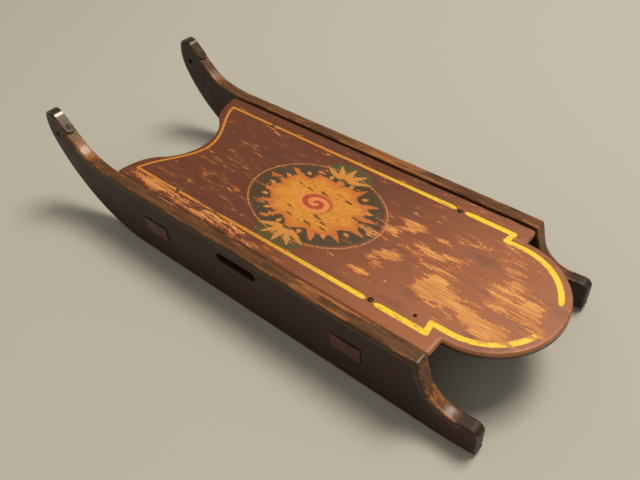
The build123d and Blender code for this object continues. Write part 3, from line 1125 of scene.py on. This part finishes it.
@dataclass
class DeckBoard:
    """The painted deck: ogee bow, square rear shoulders and a half-round tail."""

    finish: DeckPaint = DeckPaint()
    ornament: Ornament = Ornament()
    worn: DeckWear = DeckWear()
    top_pitch: float = 2.0 * MM
    under_pitch: float = 8 * MM
    outline_pitch: float = 1.2 * MM
    top_round: float = 3.2 * MM
    bottom_round: float = 1.9 * MM
    hole_round: float = 0.7 * MM
    corner_round: float = 5.2 * MM
    shoulder_step: float = 28.7 * MM
    bow_land: float = 7.5 * MM
    bow_depth: float = 60 * MM
    stray_hole_radius: float = 2.6 * MM
    stray_hole_pitch: float = 0.7 * MM
    stray_hole: Pair = (40.7 * MM, 46 * MM)
    lining_inset: float = 25.7 * MM
    lining_width: Pair = (4.6 * MM, 8 * MM)
    lining_widens: Pair = (-60 * MM, 240 * MM)
    bow_lining_margin: float = 18.9 * MM
    bow_lining_depth: float = 53 * MM
    bow_lining_wave: float = 120 * MM
    jog: Pair = (20.5 * MM, 23.5 * MM)
    tail_lining_inset: float = 14 * MM
    # Painted shade along the deck's sides between the runners: how far in it reaches, and its
    # strength.
    grime_starts: float = 6 * MM
    grime_strength: float = 0.8
    rim_drop: float = 2.56 * MM
    rim_start: float = 0.3
    rim_strength: float = 0.9
    sag: float = 0.25 * MM
    sag_pitch: Pair = (60 * MM, 150 * MM)
    edge_seed: int = 11
    sag_seed: int = 12

    def __post_init__(self) -> None:
        """Take the deck's sides and ends from the frame."""
        low, high = box_of("deck_board")
        self.half = high[0]
        self.bow, self.tail = low[1], high[1]
        self.low, self.high = low[2], high[2]
        self.tail_radius = self.half - self.shoulder_step
        self.shoulder = self.tail - self.tail_radius

    def outline(self) -> np.ndarray:
        """Draw the deck in X and Y, from its left shoulder round the bow and the tail.

        Returns:
            The closed outline. The bow's notch is an ogee of equal tangent arcs, whose bend
            follows from its half width and half depth.
        """
        span, rise = (self.half - self.bow_land) / 2, self.bow_depth / 2
        bend = 2 * np.degrees(np.arctan2(rise, span))
        radius = np.hypot(span, rise) / 2 / np.sin(np.radians(bend) / 2)
        side = self.shoulder - self.bow
        ease = self.corner_round
        pen = Pen((self.half, self.shoulder - ease), -90, self.outline_pitch)
        pen.line(side - 2 * ease).arc(ease, -90).line(self.bow_land - ease)
        for turn in (-bend, bend, bend, -bend):
            pen.arc(radius, turn)
        pen.line(self.bow_land - ease).arc(ease, -90).line(side - 2 * ease).arc(ease, -90)
        pen.line(self.shoulder_step - ease).turn(90)
        pen.arc(self.tail_radius, -180).turn(90)
        pen.line(self.shoulder_step - ease).arc(ease, -90)
        return pen.loop()

    def lining(self) -> np.ndarray:
        """Draw the lining's middle line in X and Y: bow, sides, jogs and tail.

        Returns:
            The closed line. Along the bow it is half a cosine wave, and round the tail an arc.
        """
        side = self.half - self.lining_inset
        across = np.linspace(-side, side, 80)
        wave = (1 + np.cos(np.pi * across / self.bow_lining_wave)) / 2
        bow = np.c_[across, self.bow + self.bow_lining_margin + self.bow_lining_depth * wave]
        radius = self.tail_radius - self.tail_lining_inset
        angle = np.linspace(0, np.pi, 80)
        tail = np.c_[radius * np.cos(angle), self.shoulder + radius * np.sin(angle)]
        outer, inner = self.shoulder - np.array(self.jog)
        left, right = [[side, outer], [radius, inner]], [[-radius, inner], [-side, outer]]
        return np.vstack([bow, left, tail, right, bow[:1]])

    def paint_fields(self, board: Board) -> dict[str, np.ndarray]:
        """Work out where the lining, ornament, wear and painted shade lie.

        Args:
            board: The deck's mesh.

        Returns:
            Values at its points, by the names that the finish reads. Shapes are signed
            distances in metres, negative inside; the others are shares.
        """
        plane, level = board.points[:, :2], board.points[:, 2]
        widths = np.interp(plane[:, 1], self.lining_widens, self.lining_width)
        lining = distance_to(plane, self.lining()) - widths / 2
        rim = np.clip((self.high - level) / self.rim_drop, 0, 1)
        # Painted shade: darker within a few millimetres of the sides, in front of the shoulders,
        # between the runners.
        grime = np.clip((np.abs(plane[:, 0]) - self.half) / self.grime_starts + 1, 0, 1)
        return {
            "lining": lining + blobs(plane, self.worn.gaps()) * MM,
            "rim": np.clip(rim - self.rim_start, 0, 1) * self.rim_strength,
            "grime": grime * (plane[:, 1] < self.shoulder) * self.grime_strength,
            **self.worn.fields(plane, rim),
            **self.ornament.fields(plane),
        }

    def build(self) -> bpy.types.Object:
        """Make the deck, dress it and put it in the CAD board's place.

        Returns:
            The deck. Its upper face sags by smooth noise of long and short waves.
        """
        centre = (self.half - self.stray_hole[0], self.shoulder - self.stray_hole[1])
        start = (centre[0], centre[1] - self.stray_hole_radius)
        hole = Pen(start, 0, self.stray_hole_pitch).arc(self.stray_hole_radius, 360).loop(0)
        board = Board(
            self.outline(), [hole], self.low, self.high, self.bottom_round, self.top_round,
            self.hole_round, self.under_pitch, self.top_pitch * (1),
            ValueNoise(self.edge_seed),
        )
        points = board.points.copy()
        near_top = np.clip((points[:, 2] - self.low) / (self.high - self.low), 0, 1)
        sag = ValueNoise(self.sag_seed).layered(points[:, :2], self.sag_pitch, 3)
        points[:, 2] -= self.sag * sag * near_top
        deck = make_mesh("painted_deck", points, board.faces, self.paint_fields(board))
        deck.data.materials.append(self.finish.material(self.high))
        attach(deck, "root")
        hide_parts("deck_board")
        return deck


LEFT_RUBBED = (
    WornZone((165, 114), (50, 0), (22, 5), 0.65, 3, 71),
    WornZone((-348, 134), (14, 8), (17, 16), 1.3, 2, 72),
    WornZone((348, 78), (40, 28), (22, 12), 0.5, 3, 73),
)
RIGHT_RUBBED = (
    WornZone((0, 114), (130, 0), (32, 5), 0.5, 4, 74),
    WornZone((-330, 127), (6, 4), (24, 10), 0.45, 1, 75),
    WornZone((320, 90), (40, 28), (22, 12), 0.5, 2, 76),
)


@dataclass
class Runner:
    """One upright runner board with its horn, hand hold, mortises, rope hole and heel.

    Its outline lies in Y and Z, and so do the zones where its back is rubbed.
    """

    side: Side
    seed: int
    rubbed: tuple[WornZone, ...]
    finish: RunnerPaint = RunnerPaint()
    outline_pitch: float = 1.5 * MM
    face_pitch: float = 3.5 * MM
    arris: float = 2.1 * MM
    hole_arris: float = 0.9 * MM
    corner_round: float = 3.6 * MM
    sweep_radius: float = 208 * MM
    sweep_turn: float = 66
    breast_radius: float = 67 * MM
    breast_turn: float = 39
    tip_radius: float = 16 * MM
    back_slope: float = 45
    root_upper: float = 62 * MM
    root_lower: float = 180 * MM
    root_slope: float = 20
    sole_run: float = 549.69 * MM
    heel_rise: float = 6 * MM
    heel_run: float = 62 * MM
    heel_slope: float = 75.7
    hollow_radius: float = 45 * MM
    hollow_floor: float = 49.3 * MM
    nose_radius: float = 11 * MM
    nose_slope: float = 4
    heel_reach: float = 85.5 * MM
    top_edge: float = 114.5 * MM
    tenon_gap: float = 0.2 * MM
    tenon_width: float = 50 * MM
    tenon_height: float = 25 * MM
    beam_shoulder: float = 3 * MM
    hold_at: Pair = (7 * MM, 84 * MM)
    hold_length: float = 76 * MM
    hold_height: float = 16 * MM
    rope_at: Pair = (-390.5 * MM, 145.85 * MM)
    rope_radius: float = 4 * MM
    rope_pitch: float = 0.8 * MM
    arris_wear: float = 0.4
    top_wear: float = 0.16
    least_wear: float = -0.12
    arris_reach: float = 2.6 * MM
    top_reach: float = 3 * MM
    rubbed_reach: float = 6 * MM
    band_reach: float = 2.6 * MM
    bow_depth: float = 0.2 * MM

    def __post_init__(self) -> None:
        """Take the board's box from the frame, as sizes from the sled's middle outwards."""
        low, high = box_of(self.side.node("runner"))
        self.inner, self.outer = np.sort(np.abs([low[0], high[0]]))
        self.heel, self.sole = high[1], low[2]

    def edges(self) -> tuple[np.ndarray, np.ndarray]:
        """Draw the board: heel end, sole, horn, top edge, rear cut and heel land.

        Returns:
            The closed outline, and the open line of its back: horn, top edge and rear cut.
            Every run leaves along the last one's heading, and the straight runs' lengths
            above the sole follow from the heights and reaches that they join.
        """
        bend = 2 * np.degrees(np.arctan2(self.heel_rise, self.heel_run))
        slow = np.hypot(self.heel_run, self.heel_rise) / 2 / np.sin(np.radians(bend) / 2)
        ease = self.corner_round
        toe = ease * np.tan(np.radians(90 - bend) / 2)
        trim = np.degrees(toe / slow)
        start = (self.heel, self.sole + self.heel_rise + toe)
        pen = Pen(start, -90, self.outline_pitch)
        pen.arc(ease, bend - 90 - trim).arc(slow, trim - bend).line(self.sole_run)
        pen.arc(self.sweep_radius, -self.sweep_turn).arc(self.breast_radius, -self.breast_turn)
        pen.arc(self.tip_radius, self.sweep_turn + self.breast_turn - 180 - self.back_slope)
        first = len(np.vstack(pen.runs))
        steep, slope = np.radians(self.back_slope), np.radians(self.root_slope)
        drop = self.root_upper * (np.cos(slope) - np.cos(steep))
        drop += self.root_lower * (1 - np.cos(slope))
        pen.line((pen.at[1] - self.top_edge - drop) / np.sin(steep))
        pen.arc(self.root_upper, self.back_slope - self.root_slope)
        pen.arc(self.root_lower, self.root_slope)
        cut, nose = np.radians(self.heel_slope), np.radians(self.nose_slope)
        short = ease * np.tan(cut / 2)
        pen.line(self.heel - self.heel_reach - short - pen.at[0]).arc(ease, -self.heel_slope)
        fall = self.top_edge - self.hollow_floor - self.hollow_radius * (1 - np.cos(cut))
        pen.line(fall / np.sin(cut) - short)
        pen.arc(self.hollow_radius, self.heel_slope + self.nose_slope)
        last = len(np.vstack(pen.runs))
        land = self.heel - self.nose_radius * (1 + np.sin(nose)) - pen.at[0]
        pen.line(land / np.cos(nose)).arc(self.nose_radius, -90 - self.nose_slope)
        pen.line(pen.at[1] - start[1])
        return pen.loop(), np.vstack(pen.runs)[first:last]

    def cut_outs(self) -> list[np.ndarray]:
        """Draw the hand hold, the rope hole and the two mortises.

        Returns:
            A closed loop for each.
        """
        end, flat = self.hold_height / 2, self.hold_length - self.hold_height
        y, z = self.hold_at
        hold = Pen((y - flat / 2, z - end), 0, self.outline_pitch)
        hold.line(flat).arc(end, 180).line(flat).arc(end, 180)
        y, z = self.rope_at
        rope = Pen((y, z - self.rope_radius), 0, self.rope_pitch).arc(self.rope_radius, 360)
        found = [hold.loop(0), rope.loop(0)]
        sides = [size + 2 * self.tenon_gap for size in (self.tenon_width, self.tenon_height)]
        for beam in ("front_crossbeam", "rear_crossbeam"):
            low, high = box_of(beam)
            bottom = low[2] + self.beam_shoulder - self.tenon_gap
            mortise = Pen(((low[1] + high[1] - sides[0]) / 2, bottom), 0, self.outline_pitch)
            for length in sides + sides:
                mortise.line(length).turn(90)
            found.append(mortise.loop(1))
        return found

    def paint_fields(self, board: Board, outline: np.ndarray,
                     back: np.ndarray) -> dict[str, np.ndarray]:
        """Work out where the board is rubbed and where its bead line runs.

        Args:
            board: The runner's mesh.
            outline: Its closed outline.
            back: The line of its horn, top edge and rear cut.

        Returns:
            Values at its points, by the names that the finish reads. Wear falls off from the
            arrises and the back as exp(-(distance / reach)^2).
        """
        plane, across = board.points[:, :2], board.points[:, 2]
        middle, half = (self.inner + self.outer) / 2, (self.outer - self.inner) / 2
        on_face = np.abs(across - middle) > half - 1.2 * self.arris
        edge_gap = distance_to(plane, np.vstack([outline, outline[:1]]))
        back_gap = distance_to(plane, back)
        arris = self.arris_wear * np.exp(-((edge_gap / self.arris_reach) ** 2)) * on_face
        top = self.top_wear * np.exp(-((back_gap / self.top_reach) ** 2))
        rubbed = blobs(plane, self.rubbed) * np.exp(-((back_gap / self.rubbed_reach) ** 2))
        return {
            "wear": rubbed + arris + top + self.least_wear,
            "band": np.exp(-((back_gap / self.band_reach) ** 2)),
            "back": back_gap,
            "outer": (across > self.outer - 0.5 * MM).astype(float),
        }

    def build(self) -> bpy.types.Object:
        """Make the board, dress it and put it in the CAD board's place.

        Returns:
            The board. Its faces dip by smooth noise, and the right one is mirrored in X.
        """
        outline, back = self.edges()
        board = Board(
            outline, self.cut_outs(), self.inner, self.outer, self.arris, self.arris,
            self.hole_arris, self.face_pitch, self.face_pitch, ValueNoise(self.seed),
        )
        plane, across = board.points[:, :2], board.points[:, 2]
        dip = ValueNoise(self.seed + 1).layered(plane, (140 * MM, 60 * MM), 3)
        outward = np.sign(across - (self.inner + self.outer) / 2)
        points = np.c_[self.side.value * (across - outward * self.bow_depth * dip), plane]
        faces = [group[:, :: self.side.value] for group in board.faces]
        name = self.side.node("runner_board")
        runner = make_mesh(name, points, faces, self.paint_fields(board, outline, back))
        runner.data.materials.append(self.finish.material(f"{name}_finish"))
        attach(runner, "root")
        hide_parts(self.side.node("runner"))
        return runner


def dress_nodes(kind: str, material: bpy.types.Material) -> None:
    """Give a finish to every CAD node whose name holds a word.

    Args:
        kind: The word, such as crossbeam.
        material: The finish.
    """
    for name in sorted(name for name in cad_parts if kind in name):
        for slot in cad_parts[name].material_slots:
            slot.material = material
        log.info("%s: %s", name, material.name)


@dataclass
class Crossbeams:
    """Both crossbeams, whose tenons show in the runners, and the wedges in the tenons."""

    beam: BeamWood = BeamWood(
        "crossbeam_finish", (0.05, 1, 1), tone(104, 36, 26), tone(56, 24, 18),
        tone(168, 104, 58), 0.02,
    )
    wedge: BeamWood = BeamWood(
        "wedge_finish", (0.1, 1, 1), tone(92, 36, 26), tone(48, 24, 18), tone(140, 84, 50), 0.04,
    )

    def dress(self) -> None:
        """Finish the beams and the wedges."""
        dress_nodes("crossbeam", self.beam.material())
        dress_nodes("tenon_wedges", self.wedge.material())


@dataclass
class Ironwork:
    """The straps, their screws and the deck's nails; the front nails are painted over."""

    painted_nail: BeamWood = BeamWood(
        "painted_nail_finish", (1, 1, 1), tone(112, 60, 34), tone(70, 40, 26), tone(60, 48, 38),
        0.1,
    )

    def dress(self) -> None:
        """Finish the straps, screws and nails."""
        dress_nodes("runner_shoe", WroughtIron(IronUse.STRAP).material())
        dress_nodes("_screw", WroughtIron(IronUse.SCREW).material())
        dress_nodes("rear_deck_nails", WroughtIron(IronUse.NAIL).material())
        dress_nodes("front_deck_nails", self.painted_nail.material())


@dataclass
class Studio:
    """The plain pale floor, the soft lights and the camera."""

    floor_size: float = 40.0
    floor_tone: Colour = tone(184, 184, 178)
    floor_roughness: float = 0.9
    floor_specular: float = 0.2
    camera_at: tuple[float, float, float] = (555.3 * MM, 551.1 * MM, 753.5 * MM)
    yaw: float = -136.75
    pitch: float = 43.387
    roll: float = -4.324
    lens: float = 38.184
    sensor_width: float = 36.0
    key_at: tuple[float, float, float] = (-1.6, 0.8, 4.4)
    key_size: float = 1.8
    key_power: float = 186.0
    key_tone: Colour = tone(255, 244, 226)
    fill_at: tuple[float, float, float] = (1.8, 0.6, 1.5)
    fill_size: float = 1.8
    fill_power: float = 3.5
    fill_tone: Colour = tone(255, 240, 220)
    sky_tone: Colour = tone(244, 236, 218)
    sky_strength: float = 0.34

    def build(self) -> None:
        """Make the floor, lights, sky and camera."""
        self.make_floor()
        self.make_light("key_light", self.key_at, self.key_size, self.key_power, self.key_tone)
        self.make_light("fill_light", self.fill_at, self.fill_size, self.fill_power,
                        self.fill_tone)
        self.make_sky()
        self.make_camera()
        bpy.context.scene.view_settings.view_transform = "Standard"

    def make_floor(self) -> None:
        """Make the floor: one flat square at height 0."""
        half = self.floor_size / 2
        corners = np.array([(-half, -half, 0), (half, -half, 0), (half, half, 0), (-half, half, 0)])
        floor = make_mesh("floor", corners, [np.array([[0, 1, 2, 3]])])
        material = bpy.data.materials.new("pale_floor")
        material.use_nodes = True
        shader = material.node_tree.nodes["Principled BSDF"]
        shader.inputs["Base Color"].default_value = self.floor_tone
        shader.inputs["Roughness"].default_value = self.floor_roughness
        shader.inputs["Specular IOR Level"].default_value = self.floor_specular
        floor.data.materials.append(material)

    def make_light(self, name: str, place: Sequence[float], size: float, power: float,
                   colour: Colour) -> None:
        """Make a square soft light that points at the sled's middle.

        Args:
            name: The light's name.
            place: Where it stands.
            size: Length of its side.
            power: Its power in watts.
            colour: Its colour.
        """
        data = bpy.data.lights.new(name, "AREA")
        data.size, data.energy, data.color = size, power, colour[:3]
        light = bpy.data.objects.new(name, data)
        light.location = place
        light.rotation_euler = (-Vector(place)).to_track_quat("-Z", "Y").to_euler()
        bpy.context.scene.collection.objects.link(light)

    def make_sky(self) -> None:
        """Make the even light that comes from all round."""
        world = bpy.data.worlds.new("soft_sky")
        world.use_nodes = True
        background = world.node_tree.nodes["Background"]
        background.inputs["Color"].default_value = self.sky_tone
        background.inputs["Strength"].default_value = self.sky_strength
        bpy.context.scene.world = world

    def make_camera(self) -> None:
        """Make the camera.

        Its forward direction is (cos p cos y, cos p sin y, -sin p) for pitch p and yaw y, and
        its right and up directions are turned about that by the roll.
        """
        pitch, yaw, roll = np.radians([self.pitch, self.yaw, self.roll])
        forward = np.array([np.cos(pitch) * np.cos(yaw), np.cos(pitch) * np.sin(yaw),
                            -np.sin(pitch)])
        level = np.cross(forward, (0, 0, 1))
        level /= np.linalg.norm(level)
        over = np.cross(level, forward)
        right = np.cos(roll) * level + np.sin(roll) * over
        up = -np.sin(roll) * level + np.cos(roll) * over
        data = bpy.data.cameras.new("camera")
        data.sensor_width, data.lens = self.sensor_width, self.lens
        camera = bpy.data.objects.new("camera", data)
        turn = Matrix(np.c_[right, up, -forward].tolist()).to_4x4()
        camera.matrix_world = Matrix.Translation(self.camera_at) @ turn
        bpy.context.scene.collection.objects.link(camera)
        bpy.context.scene.camera = camera


def main() -> None:
    """Build the studio and the sled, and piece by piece."""
    logging.basicConfig(level=logging.INFO, format="%(message)s")
    Studio().build()
    boards = (
        DeckBoard(), Runner(Side.LEFT, 21, LEFT_RUBBED), Runner(Side.RIGHT, 31, RIGHT_RUBBED),
    )
    for board in boards:
        piece = board.build()
        log.info("%s: %d points", piece.name, len(piece.data.vertices))
    Crossbeams().dress()
    Ironwork().dress()


if __name__ == "__main__":
    main()
